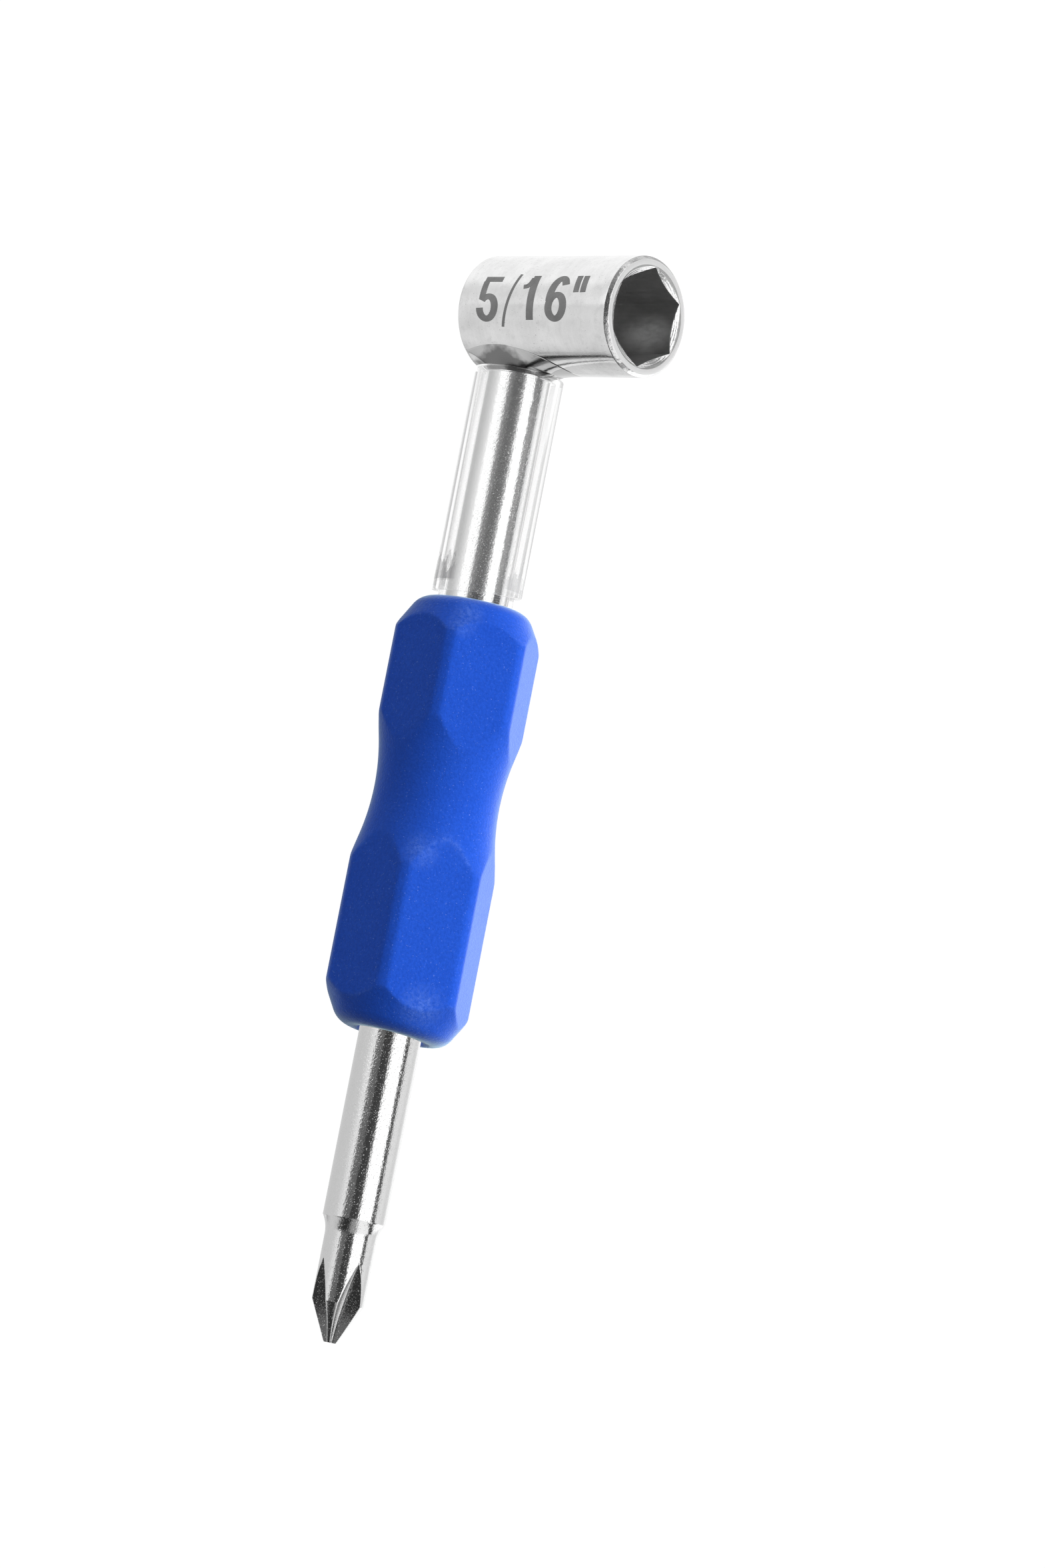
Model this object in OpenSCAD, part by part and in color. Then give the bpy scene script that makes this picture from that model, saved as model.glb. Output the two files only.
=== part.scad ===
// Truss rod wrench: a cross-set hexagon socket and a cross-point tip on one steel shank,
// with a moulded hexagonal handle in the middle and two clear sleeves over the upper shank.
// Each piece is drawn standing: the shank runs down from the barrel along -Z, and the
// barrel's mouth faces +X. lay() then lays the tool on one flat of its handle.

/* [Socket barrel] */
// Outside diameter of the barrel
barrel_od = 11; // [10.6:0.1:12.5]
// Distance from the shank's axis to the barrel's mouth
mouth_reach = 14.2; // [13.6:0.1:20]
// Distance from the shank's axis to the barrel's closed end
back_reach = 4.2; // [3.8:0.1:6]
// Width of the hexagon across its flats, for a 5/16 inch nut
hex_af = 8; // [6.4:0.05:8.2]
// Depth of the hexagon from the mouth
hex_depth = 9.4; // [6:0.1:10]
// Drilled depth past the end of the hexagon
chip_depth = 0.8; // [0.3:0.1:1]
// Ledge that the broach leaves around the drilled end
chip_ledge = 0.1; // [0.05:0.05:0.4]
// Diameter of the countersink at the mouth
lead_in_d = 9.4; // [8.8:0.1:9.8]
// Included angle of the countersink at the mouth
lead_in_angle = 120; // [90:5:130]
// Break on the barrel's outer edges
barrel_edge = 0.25; // [0.1:0.05:0.4]

/* [Shank] */
// Diameter of the shank
shank_d = 5.75; // [5.2:0.05:6]
// Distance from the barrel's axis down to the shank's upper end inside it
seat_drop = 1.5; // [0.5:0.1:3]
// Radial gap that the brazing metal fills in the barrel's seat
braze_gap = 0.03; // [0.01:0.01:0.06]
// Length of bare shank between the handle and the shoulder
bare_run = 16.9; // [12:0.1:30]
// Width of the two wings that key the shank into the handle, tip to tip
wing_span = 8.2; // [6.6:0.1:9]
// Thickness of the wings
wing_t = 1.6; // [1:0.1:2.5]
// Length of the wings along the shank
wing_len = 10; // [5:0.5:16]
// Distance from the handle's lower end up to the wings
wing_rise = 6; // [4:0.5:10]

/* [Screwdriver tip] */
// Diameter of the neck below the shoulder
neck_d = 4.75; // [4.2:0.05:5.1]
// Length of the hollow blend from the shank to the neck
shoulder_run = 1.7; // [1:0.1:2.5]
// Length from the shoulder to the end of the tip
tip_run = 11.25; // [10.5:0.05:20]
// Length of the cone at the tip
cone_run = 3.65; // [3:0.05:5]
// Diameter of the flat at the very end
tip_flat_d = 1.2; // [1:0.1:1.6]
// Length over which the four flutes run out
flute_run = 7.45; // [6:0.05:8.4]
// Core left between opposite flutes at the very end
web_d = 0.5; // [0.4:0.05:0.8]
// Diameter of the vee-edged wheel that the flutes are ground with
wheel_d = 32; // [26:1:48]
// Turn of the wings of the tip about the shank, from the barrel's axis
tip_turn = 30; // [0:5:85]

/* [Brazed joint] */
// Angle round the barrel between the foot of the fillet and its upper edge
fillet_spread = 20; // [14:1:24]
// Thickness of the brazing metal at the foot of the fillet
fillet_foot = 0.06; // [0.04:0.01:0.2]
// Gap between the foot of the fillet and the inner sleeve
fillet_gap = 0.15; // [0.1:0.05:0.3]

/* [Clear sleeves] */
// Wall of the inner sleeve
inner_wall = 0.5; // [0.3:0.05:0.8]
// Wall of the outer sleeve
outer_wall = 0.68; // [0.4:0.02:1.2]
// Running gap between the shank and the inner sleeve, on the radius
running_gap = 0.075; // [0.03:0.005:0.1]
// Gap left between the two sleeves, on the radius
nest_gap = 0.02; // [0.01:0.005:0.03]
// Gap between the barrel and the outer sleeve
sleeve_gap = 0.15; // [0.15:0.05:1]
// Distance from the outer sleeve's upper end down to the inner sleeve's
inner_step = 0.4; // [0:0.1:2]
// Gap between the inner sleeve and the handle
inner_gap = 0.15; // [0.1:0.05:1]
// Gap between the outer sleeve and the handle, at the middle of its cut
outer_gap = 0.95; // [0.8:0.05:3]
// Slant of the outer sleeve's lower cut
cut_slant = 6.5; // [0:0.5:8]

/* [Handle] */
// Distance from the barrel's axis down to the handle
handle_drop = 27.35; // [24:0.05:45]
// Length of the handle
handle_len = 40.15; // [36:0.05:60]
// Width of the handle across its flats
handle_af = 12.4; // [12:0.1:13.6]
// Diameter over the handle's rounded corners
corner_d = 13.8; // [13:0.1:15]
// Distance from the handle's upper end to the middle of the waist
waist_drop = 18.05; // [16:0.05:22]
// Diameter of the waist
waist_d = 11.6; // [10.4:0.1:11.9]
// Radius of the hollow of the waist
waist_round = 21; // [15:1:40]
// Rounding of the handle's ends
end_round = 2; // [1:0.1:2.5]
// Slope of the cones behind the rounding, from the axis
end_cone = 30; // [20:1:40]
// Depth at which the cones run out in the flats
end_run = 2.15; // [1.9:0.05:3]
// Slant of the handle's lower end
end_slant = 6; // [0:0.5:7]
// Gap around the shank at the mouth of the handle's lower end, on the radius
mouth_gap = 0.25; // [0.1:0.05:0.5]
// Depth of that gap
mouth_depth = 1.6; // [1:0.1:3]

/* [Hidden] */

$fn = 96;
arc_steps = 12;
cut = 1;
chrome = "#d4d6d9";
braze = "#b9bbbe";
clear_inner = [0.93, 0.95, 0.96, 0.45];
clear_outer = [0.96, 0.97, 0.98, 0.35];
blue = "#2450c8";

barrel_r = barrel_od / 2;
shank_r = shank_d / 2;
neck_r = neck_d / 2;
inner_bore = shank_d + 2 * running_gap;
inner_od = inner_bore + 2 * inner_wall;
outer_bore = inner_od + 2 * nest_gap;
outer_od = outer_bore + 2 * outer_wall;
outer_top = barrel_r + sleeve_gap;
inner_top = outer_top + inner_step;
handle_end = handle_drop + handle_len;
shoulder = handle_end + bare_run;
tip_end = shoulder + tip_run;
waist_mid = handle_drop + waist_drop;

// Points on an arc about a centre, from one angle to another
function arc(centre, r, from, to) =
    [for (i = [0 : arc_steps]) let (a = from + (to - from) * i / arc_steps)
        centre + r * [cos(a), sin(a)]];

// Radius of a hollow blend that leaves a wall along it and reaches out and up to a point
function blend_r(out, up) = (out * out + up * up) / (2 * out);

// Lays the tool on the flat of its handle, over the middle of its box
module lay() {
    side = max(corner_d / 2, back_reach);
    translate([(tip_end - barrel_r) / 2, (mouth_reach - side) / 2, handle_af / 2])
        rotate([-90, 0, 0])
            rotate([0, 90, 0])
                children();
}

// The barrel's outside, along +X
module barrel_blank() {
    rotate([0, 90, 0])
        rotate_extrude()
            polygon([
                [0, -back_reach],
                [barrel_r - barrel_edge, -back_reach],
                [barrel_r, barrel_edge - back_reach],
                [barrel_r, mouth_reach - barrel_edge],
                [barrel_r - barrel_edge, mouth_reach],
                [0, mouth_reach]
            ]);
}

// Hexagon, drilled end and countersink, cut from the mouth
module socket_hole() {
    hex_end = mouth_reach - hex_depth;
    lead_in = lead_in_d / 2 / tan(lead_in_angle / 2);
    rotate([0, 90, 0]) {
        translate([0, 0, hex_end])
            cylinder(d = hex_af / cos(30), h = hex_depth + cut, $fn = 6);
        translate([0, 0, hex_end - chip_depth])
            cylinder(d = hex_af - 2 * chip_ledge, h = chip_depth + cut);
        rotate_extrude()
            polygon([
                [0, mouth_reach - lead_in],
                [lead_in_d / 2, mouth_reach],
                [lead_in_d / 2, mouth_reach + cut],
                [0, mouth_reach + cut]
            ]);
    }
}

module socket_barrel() {
    seat_d = shank_d + 2 * braze_gap;
    lay()
        color(chrome)
            difference() {
                barrel_blank();
                socket_hole();
                translate([0, 0, -barrel_od])
                    cylinder(d = seat_d, h = barrel_od - seat_drop);
            }
}

// The round bar with its shoulder, neck and coned end
module shank_blank() {
    blend = blend_r(shank_r - neck_r, shoulder_run);
    sweep = asin(shoulder_run / blend);
    rotate_extrude()
        polygon(concat(
            [[0, -seat_drop], [shank_r, -seat_drop]],
            arc([neck_r + blend, -shoulder - shoulder_run], blend, 180 - sweep, 180),
            [
                [neck_r, cone_run - tip_end],
                [tip_flat_d / 2, -tip_end],
                [0, -tip_end]
            ]
        ));
}

// The vee-edged wheel, set to grind the flute that faces +X
module flute_wheel() {
    wheel_r = wheel_d / 2;
    run = [flute_run, neck_r - web_d / 2];
    half = norm(run) / 2;
    reach = sqrt(wheel_r * wheel_r - half * half);
    along = run / norm(run);
    // Centre: outwards from the axis, and along the shank from the tip's end
    mid = [flute_run / 2, (neck_r + web_d / 2) / 2] + reach * [-along[1], along[0]];
    translate([mid[1], 0, mid[0] - tip_end])
        rotate([90, 0, 0])
            rotate_extrude()
                polygon([
                    [wheel_r - neck_d, -neck_d],
                    [wheel_r, 0],
                    [wheel_r - neck_d, neck_d]
                ]);
}

// The wings that key the shank into the handle, also cut from the handle
module key_wings() {
    translate([-wing_span / 2, -wing_t / 2, wing_rise - handle_end])
        cube([wing_span, wing_t, wing_len]);
}

module shank() {
    lay()
        color(chrome) {
            difference() {
                union() {
                    shank_blank();
                    key_wings();
                }
                for (a = [45 : 90 : 315])
                    rotate([0, 0, tip_turn + a])
                        flute_wheel();
            }
        }
}

// The metal drawn into the corner between barrel and shank: a cone that meets the barrel's side
module braze_fillet() {
    foot = [shank_r + fillet_foot, fillet_gap - inner_top];
    turn = atan2(foot[0], -foot[1]) + fillet_spread;
    meet = barrel_r * [sin(turn), -cos(turn)];
    // The cone runs on into the barrel by half its length, where the barrel's bulk is taken away
    top = meet + (meet - foot) / 2;
    lay()
        color(braze)
            difference() {
                rotate_extrude()
                    polygon([[shank_r, foot[1]], foot, top, [shank_r, top[1]]]);
                rotate([0, 90, 0])
                    cylinder(d = barrel_od, h = 2 * mouth_reach, center = true);
                translate([-back_reach - barrel_od, -barrel_od / 2, -barrel_od])
                    cube(barrel_od);
            }
}

// A length of tube between two depths below the barrel's axis
module tube(od, bore, from, to) {
    translate([0, 0, -to])
        difference() {
            cylinder(d = od, h = to - from);
            translate([0, 0, -cut])
                cylinder(d = bore, h = to - from + 2 * cut);
        }
}

module inner_sleeve() {
    lay()
        color(clear_inner)
            tube(inner_od, inner_bore, inner_top, handle_drop - inner_gap);
}

module outer_sleeve() {
    end = handle_drop - outer_gap;
    longest = end + outer_od / 2 * tan(cut_slant);
    lay()
        color(clear_outer)
            difference() {
                tube(outer_od, outer_bore, outer_top, longest);
                translate([0, 0, -end])
                    rotate([cut_slant, 0, 0])
                        translate([-outer_od, -outer_od, -outer_od])
                            cube([2 * outer_od, 2 * outer_od, outer_od]);
            }
}

// Half outline of a handle end: a flat, a rounding and a cone out to a radius, upwards from zero
function end_outline(out) =
    let (
        edge = handle_af / 2 - end_run * tan(end_cone),
        flat = edge - end_round * tan(45 - end_cone / 2)
    )
    concat(
        [[0, 0]],
        arc([flat, end_round], end_round, -90, -end_cone),
        [[out, (out - edge) / tan(end_cone)]]
    );

// The handle as turned: upper end, corners and waist, from the lower end's depth up
module handle_turned() {
    corner_r = corner_d / 2;
    waist_r = waist_d / 2;
    bend = acos((waist_round - (corner_r - waist_r)) / waist_round);
    outline = concat(
        [for (p = end_outline(corner_r)) [p[0], -handle_drop - p[1]]],
        arc([waist_r + waist_round, -waist_mid], waist_round, 180 - bend, 180 + bend),
        [[corner_r, -handle_end - corner_r], [0, -handle_end - corner_r]]
    );
    rotate_extrude()
        polygon(outline);
}

// The lower end, turned about its own slanted axis
module handle_lower_end() {
    translate([0, 0, -handle_end])
        rotate([-end_slant, 0, 0])
            rotate_extrude()
                polygon(concat(
                    end_outline(corner_d),
                    [[corner_d, 2 * handle_len], [0, 2 * handle_len]]
                ));
}

module handle() {
    lay()
        color(blue)
            difference() {
                intersection() {
                    translate([0, 0, -handle_end - corner_d])
                        cylinder(d = handle_af / cos(30), h = handle_len + 2 * corner_d, $fn = 6);
                    handle_turned();
                    handle_lower_end();
                }
                translate([0, 0, -handle_end - corner_d])
                    cylinder(d = shank_d, h = handle_len + 2 * corner_d);
                translate([0, 0, -handle_end - corner_d])
                    cylinder(d = shank_d + 2 * mouth_gap, h = corner_d + mouth_depth);
                key_wings();
            }
}

socket_barrel();
shank();
braze_fillet();
inner_sleeve();
outer_sleeve();
handle();
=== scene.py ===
# A truss rod wrench: the looks of its pieces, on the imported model's frame.
# Pieces are drawn standing, as the tool is made: the shank runs down from the barrel's axis
# along -Z and the socket's mouth faces +X. piece() then lays them where the frame has them.
import math

import bpy
import numpy as np
from mathutils import Matrix, Vector


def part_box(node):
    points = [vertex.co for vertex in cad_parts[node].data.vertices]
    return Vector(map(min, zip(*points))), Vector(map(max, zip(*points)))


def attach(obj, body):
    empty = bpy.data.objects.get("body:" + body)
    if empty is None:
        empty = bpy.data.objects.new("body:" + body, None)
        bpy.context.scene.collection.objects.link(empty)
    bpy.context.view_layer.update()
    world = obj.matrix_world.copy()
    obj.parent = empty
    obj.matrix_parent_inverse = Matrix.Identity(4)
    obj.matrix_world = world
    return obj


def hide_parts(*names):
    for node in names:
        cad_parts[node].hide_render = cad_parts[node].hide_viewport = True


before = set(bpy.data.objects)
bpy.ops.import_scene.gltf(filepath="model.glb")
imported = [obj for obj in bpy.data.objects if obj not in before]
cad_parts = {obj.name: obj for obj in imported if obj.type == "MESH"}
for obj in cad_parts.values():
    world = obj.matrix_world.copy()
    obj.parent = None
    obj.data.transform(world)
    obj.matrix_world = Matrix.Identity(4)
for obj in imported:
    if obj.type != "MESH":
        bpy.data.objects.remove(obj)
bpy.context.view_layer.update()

MM = 0.001

# The photograph's viewpoint
VIEW_AZIMUTH = math.radians(46.2)
VIEW_DISTANCE = 413.9 * MM
VIEW_HEIGHT = -83.26 * MM
VIEW_AIM = math.radians(1.03)
VIEW_PITCH = math.radians(5.6)
VIEW_ROLL = math.radians(11.0)
VIEW_LENS = 104.65

# Places and sizes from the frame
barrel_low, barrel_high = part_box("socket_barrel")
shank_low, shank_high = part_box("shank")
inner_low, inner_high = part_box("inner_sleeve")
outer_low, outer_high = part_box("outer_sleeve")
handle_low, handle_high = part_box("handle")
AXIS_X = (barrel_low.x + barrel_high.x) / 2
AXIS_Y = (inner_low.y + inner_high.y) / 2
AXIS_Z = (inner_low.z + inner_high.z) / 2
BARREL_R = (barrel_high.x - barrel_low.x) / 2
MOUTH = AXIS_Y - barrel_low.y
BACK = AXIS_Y - barrel_high.y
SHANK_TOP = shank_high.x - AXIS_X
TIP_END = shank_low.x - AXIS_X
HANDLE_TOP = handle_high.x - AXIS_X
HANDLE_FLAT = (handle_high.z - handle_low.z) / 2
CORNER_R = (handle_high.y - handle_low.y) / 2

# Sizes that the boxes don't give
HEX_FLAT = 4.0 * MM
HEX_DEPTH = 9.4 * MM
CHIP_DEPTH = 0.8 * MM
CHIP_R = 3.9 * MM
LEAD_IN_R = 4.7 * MM
LEAD_IN_SLOPE = math.tan(math.radians(60))
EDGE = 0.25 * MM
MOUTH_BREAK = 0.32 * MM
BREAK_SOFT = 0.1 * MM
SOFT_EDGE = 0.04 * MM
SHANK_R = 2.875 * MM
NECK_R = 2.375 * MM
SHOULDER_RUN = 1.7 * MM
TIP_RUN = 11.25 * MM
CONE_RUN = 3.65 * MM
TIP_FLAT_R = 0.6 * MM
FLUTE_RUN = 7.45 * MM
RUN_OUT = 1 * MM
WEB_R = 0.25 * MM
WHEEL_R = 16 * MM
TIP_TURN = math.radians(30)
HANDLE_LEN = 40.15 * MM
WAIST_DROP = 18.05 * MM
WAIST_R = 5.8 * MM
WAIST_ROUND = 21 * MM
END_ROUND = 2 * MM
END_CONE = math.radians(30)
END_RUN = 2.15 * MM
END_SLANT = math.radians(6)
MOUTH_GAP = 0.25 * MM
MOUTH_DEPTH = 1.6 * MM
MOUTH_EDGE = 0.15 * MM
CORNER_SOFT = 0.02 * MM
FACET_SOFT = 0.05 * MM
FACET_ROUND = 1.5 * MM
INNER_BORE = 5.9 * MM
INNER_WALL = 0.5 * MM
OUTER_BORE = 6.94 * MM
OUTER_WALL = 0.68 * MM
CUT_SLANT = math.radians(6.5)
RIM = 0.08 * MM

LAY = Matrix((
    (0, 0, 1, AXIS_X),
    (-1, 0, 0, AXIS_Y),
    (0, -1, 0, AXIS_Z),
    (0, 0, 0, 1),
))


# How finely the shapes are drawn: points in a ring, rings over a run, and steps of a search
AROUND = 360
EDGE_RINGS = 8
SIDE_RINGS = 24
LIP_RINGS = 4
BRAZE_AROUND = 240
BRAZE_RINGS = 21
HALVINGS = 30
WALL_TRIES = 400
WING_POINTS = 9
FLANK_POINTS = 18
BAR_RINGS = 20
SHOULDER_RINGS = 14
NECK_RINGS = 70
CONE_RINGS = 50
SMOOTHINGS = 2
END_RINGS = 24
WAIST_RINGS = 100
FLAT_RINGS = 30
STROKE_STEPS = 16
BOW_STEPS = 40

EIGHTH = math.pi / 4


# Shapes

def piece(name, mesh, body, slot, *nodes):
    """A finished object: its mesh is laid in the frame, rides on a body and stands for CAD nodes."""
    mesh.transform(LAY)
    obj = bpy.data.objects.new(name, mesh)
    bpy.context.scene.collection.objects.link(obj)
    if nodes:
        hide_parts(*nodes)
    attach(obj, body)
    return obj


def volume(points, faces):
    """Signed volume inside closed quads."""
    a, b, c, d = (points[faces[:, k]] for k in range(4))
    return (np.einsum("ij,ij->i", a, np.cross(b, c)) + np.einsum("ij,ij->i", a, np.cross(c, d))).sum()


def round_shank(degrees, rise=0.0):
    """A direction by its turn from the camera round the shank and its rise towards the socket."""
    right = Vector((0.0, -math.sin(VIEW_AZIMUTH), -math.cos(VIEW_AZIMUTH)))
    toward = Vector((0.0, -math.cos(VIEW_AZIMUTH), math.sin(VIEW_AZIMUTH)))
    turn, up = math.radians(degrees), math.radians(rise)
    level = toward * math.cos(turn) + right * math.sin(turn)
    return level * math.cos(up) + Vector((math.sin(up), 0, 0))


def skin(name, rings, closed=False):
    """A smooth mesh through rings of as many points each. It closes on itself or is capped."""
    rings = np.asarray(rings, float)
    count, around = rings.shape[:2]
    spots = np.arange(count * around).reshape(count, around)
    low = spots if closed else spots[:-1]
    high = np.roll(spots, -1, 0) if closed else spots[1:]
    quads = np.stack([low, np.roll(low, -1, 1), np.roll(high, -1, 1), high], -1).reshape(-1, 4)
    points = rings.reshape(-1, 3)
    inward = volume(points - points.mean(0), quads) < 0
    faces = [q[::-1] if inward else q for q in quads.tolist()]
    if not closed:
        ends = [spots[0][::-1].tolist(), spots[-1].tolist()]
        faces += [e[::-1] if inward else e for e in ends]
    mesh = bpy.data.meshes.new(name)
    mesh.from_pydata(points.tolist(), [], faces)
    mesh.shade_smooth()
    mesh.update()
    return mesh


def arc(centre, radius, start, end, steps):
    """Points (r, height) on an arc, from one angle to another in degrees."""
    turns = np.radians(np.linspace(start, end, steps + 1))
    return [(centre[0] + radius * math.cos(t), centre[1] + radius * math.sin(t)) for t in turns]


def soft_least(a, b, soft):
    """The lesser of two, with the corner between them rounded."""
    return (a + b - np.sqrt((a - b) ** 2 + soft ** 2)) / 2


def hexagon(turns, flat, corner=0.0):
    """Radius of a hexagon with flats at 30 degrees and every 60 from there, and its corners rounded."""
    off = np.abs((turns + math.pi / 6) % (math.pi / 3) - math.pi / 6)
    plain = flat / np.cos(math.pi / 6 - off)
    if not corner:
        return plain
    middle = (flat - corner) / math.cos(math.pi / 6)
    rounded = middle * np.cos(off) + np.sqrt(np.maximum(corner ** 2 - (middle * np.sin(off)) ** 2, 0))
    round_end = math.atan2(corner / 2, middle + corner * math.cos(math.pi / 6))
    return np.where(off < round_end, rounded, plain)


# Shares of the way at which rings lie: round a softened corner, down the cone and down the hexagon
CORNER_SHARES = (0, 1 / 3, 2 / 3, 1)
CONE_SHARES = (0.3, 0.6, 0.9, 0.97)
HEX_SHARES = (0.02, 0.1, 0.3, 0.6, 0.9, 1)


def barrel_mesh():
    """The barrel from its closed end, over its side and mouth, down the hexagon to the drilled end."""
    turns = np.arange(AROUND) * math.tau / AROUND

    def ring(radius, along):
        radius = np.broadcast_to(radius, AROUND)
        along = np.broadcast_to(along, AROUND)
        return np.stack([along, radius * np.sin(turns), radius * np.cos(turns)], -1)

    side = np.linspace(BACK + EDGE, MOUTH - MOUTH_BREAK, SIDE_RINGS)[1:-1]
    outline = [(BARREL_R - EDGE - SOFT_EDGE, BACK)]
    outline += arc((BARREL_R - EDGE, BACK + EDGE), EDGE, -90, 0, EDGE_RINGS)
    outline += [(BARREL_R, along) for along in side]
    soft = BREAK_SOFT
    for share in CORNER_SHARES:
        along = MOUTH - MOUTH_BREAK - soft / 2 + soft * share
        outline.append((BARREL_R - soft * share ** 2 / 2, along))
    for share in CORNER_SHARES:
        radius = BARREL_R - MOUTH_BREAK + soft / 2 - soft * share
        outline.append((radius, MOUTH - soft * (1 - share) ** 2 / 2))
    outline += arc((LEAD_IN_R + SOFT_EDGE, MOUTH - SOFT_EDGE), SOFT_EDGE, 90, 150, LIP_RINGS)
    wall = hexagon(turns, HEX_FLAT)
    rim = MOUTH - (LEAD_IN_R - wall) / LEAD_IN_SLOPE
    for share in CONE_SHARES:
        radius = LEAD_IN_R + (wall - LEAD_IN_R) * share
        outline.append((radius, MOUTH - (LEAD_IN_R - radius) / LEAD_IN_SLOPE))
    outline.append((wall, rim - SOFT_EDGE / 2))
    end = MOUTH - HEX_DEPTH
    outline += [(wall, rim + (end - rim) * share) for share in HEX_SHARES]
    outline += [(CHIP_R, end), (CHIP_R, end - SOFT_EDGE), (CHIP_R, end - CHIP_DEPTH)]
    outline.append((CHIP_R - SOFT_EDGE, end - CHIP_DEPTH))
    return skin("socket_barrel", [ring(radius, along) for radius, along in outline])


# The braze round the shank's seat: its foot on the shank, and its oval outline on the barrel
BRAZE_FOOT = 5.9 * MM
BRAZE_R = SHANK_R + 0.06 * MM
BRAZE_REACH = 7.1 * MM
BRAZE_TURN = math.radians(46.6)
BRAZE_SUNK = 0.3 * MM
BRAZE_CREASE = 0.3


def braze_mesh():
    """A thin saddle of braze, hollow between the shank and its oval edge on the barrel."""
    turns = np.arange(BRAZE_AROUND) * math.tau / BRAZE_AROUND
    out, across = np.cos(turns), np.sin(turns)
    shank_side = np.stack([out * BRAZE_R, across * BRAZE_R, np.full_like(out, -BRAZE_FOOT)], -1)
    down = BRAZE_TURN * across
    away = np.stack([np.zeros_like(out), np.sin(down), -np.cos(down)], -1)
    edge = BARREL_R * away
    edge[:, 0] = np.maximum(BRAZE_REACH * out, BACK + EDGE)
    # The hollow's corner lies over the shank's wall, in the barrel's tangent plane at the edge
    corner = shank_side.copy()
    corner[:, 2] = -(BARREL_R - corner[:, 1] * np.sin(down)) / np.cos(down)
    corner = corner * (1 - BRAZE_CREASE) + (shank_side + edge) / 2 * BRAZE_CREASE
    rings = [edge - away * BRAZE_SUNK]
    for share in np.linspace(0, 1, BRAZE_RINGS):
        left = 1 - share
        rings.append(left ** 2 * edge + 2 * share * left * corner + share ** 2 * shank_side)
    inside = shank_side.copy()
    inside[:, :2] *= 1 - BRAZE_SUNK / BRAZE_R
    rings.append(inside)
    return skin("braze_fillet", rings, closed=True)


def flute_radius(turn, height):
    """Radius of the flute's wall, at a turn from the flute's middle and a height over the tip's end."""
    half = np.array([FLUTE_RUN, NECK_R - WEB_R]) / 2
    along = half / np.linalg.norm(half)
    reach = math.sqrt(WHEEL_R ** 2 - half @ half)
    hub = np.array([FLUTE_RUN, NECK_R + WEB_R]) / 2 + reach * np.array([-along[1], along[0]])
    low, high = np.zeros_like(turn), np.full_like(turn, SHANK_R)
    for _ in range(HALVINGS):
        middle = (low + high) / 2
        to_hub = np.hypot(hub[1] - middle * np.cos(turn), height - hub[0])
        solid = middle * np.abs(np.sin(turn)) > WHEEL_R - to_hub
        low = np.where(solid, middle, low)
        high = np.where(solid, high, middle)
    return low


# Least turn that a flute's flank takes up, and the one past which its points are spread by depth
LEAST_TURN = math.radians(3)
DEEP_TURN = 4 * LEAST_TURN
# Share of the tip's cone at which its last ring lies
CONE_END = 0.01


def tip_section(radius, height):
    """Turns of a section's points from a wing's middle, over the corner, to a flute's middle."""
    fine = np.linspace(0, EIGHTH, WALL_TRIES)
    wall = flute_radius(EIGHTH - fine, np.full_like(fine, height))
    corner = float(fine[np.argmax(wall < radius)]) if (wall < radius).any() else EIGHTH
    corner = min(corner, EIGHTH - LEAST_TURN)
    depth = float(wall[-1]) if wall[-1] < radius else radius
    half = depth * math.sin(EIGHTH)
    start, end = radius * math.cos(corner), depth * math.cos(EIGHTH)
    if start - end > DEEP_TURN * radius:
        run = end + (start - end) * (1 - np.linspace(0, 1, FLANK_POINTS + 1)[1:])
        flank = np.clip(np.arctan2(half, run), corner, EIGHTH)
    else:
        flank = np.linspace(corner, EIGHTH, FLANK_POINTS + 1)[1:]
    return np.concatenate([np.linspace(0, corner, WING_POINTS), flank])


def shank_outline():
    """The bar's rings before its flutes: radius and height, from inside the barrel to the tip's end."""
    blend = ((SHANK_R - NECK_R) ** 2 + SHOULDER_RUN ** 2) / (2 * (SHANK_R - NECK_R))
    sweep = math.degrees(math.asin(SHOULDER_RUN / blend))
    shoulder = TIP_END + TIP_RUN
    neck = shoulder - SHOULDER_RUN
    outline = [(SHANK_R, SHANK_TOP), (SHANK_R, -BARREL_R)]
    outline += [(SHANK_R, z) for z in np.linspace(-BARREL_R, shoulder, BAR_RINGS)[1:-1]]
    outline += [(SHANK_R, shoulder + SOFT_EDGE * 2)]
    outline += arc((NECK_R + blend, neck), blend, 180 - sweep, 180, SHOULDER_RINGS)
    outline += [(NECK_R, z) for z in np.linspace(neck, TIP_END + CONE_RUN, NECK_RINGS)[1:-1]]
    outline += [
        (TIP_FLAT_R + (NECK_R - TIP_FLAT_R) * share, TIP_END + CONE_RUN * share)
        for share in np.linspace(1, CONE_END, CONE_RINGS)
    ]
    return outline + [(TIP_FLAT_R - SOFT_EDGE, TIP_END)]


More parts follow.
